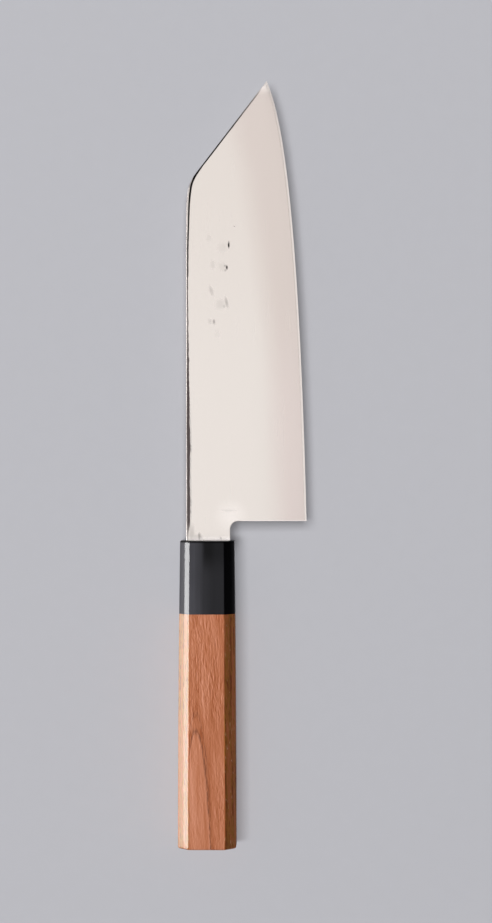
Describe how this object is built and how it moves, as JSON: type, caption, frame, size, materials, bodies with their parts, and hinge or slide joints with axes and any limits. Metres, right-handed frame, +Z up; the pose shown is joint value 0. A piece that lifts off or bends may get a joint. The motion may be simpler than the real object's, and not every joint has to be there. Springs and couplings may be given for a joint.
{
  "type": "bunka knife",
  "caption": "Japanese kitchen knife with a tall clipped-point blade, a dark horn ferrule and an octagonal wooden handle, lying flat.",
  "frame": {"origin": "centre of the knife's bounding box, on the surface it lies on", "axes": "+Y along the knife from the handle to the tip, +X from the back of the blade to the cutting edge, +Z up through the right cheek"},
  "size_m": [0.0524, 0.313, 0.0192],
  "materials": {
    "core_steel": "fine satin, sharpened edge",
    "cladding_steel": "satin, with dark forge scale along the back",
    "ferrule_horn": "polished black horn",
    "handle_wood": "satin, straight-grained red-brown wood",
    "dowel_wood": "bare pale wood",
    "resin": "cast, dark amber",
    "seal": "dark wax-like seal"
  },
  "bodies": {
    "root": {"blade_core": "core_steel", "right_cladding": "cladding_steel", "left_cladding": "cladding_steel", "ferrule": "ferrule_horn", "handle_body": "handle_wood", "dowel": "dowel_wood", "tang_bedding": "resin", "mouth_seal": "seal"}
  },
  "joints": []
}
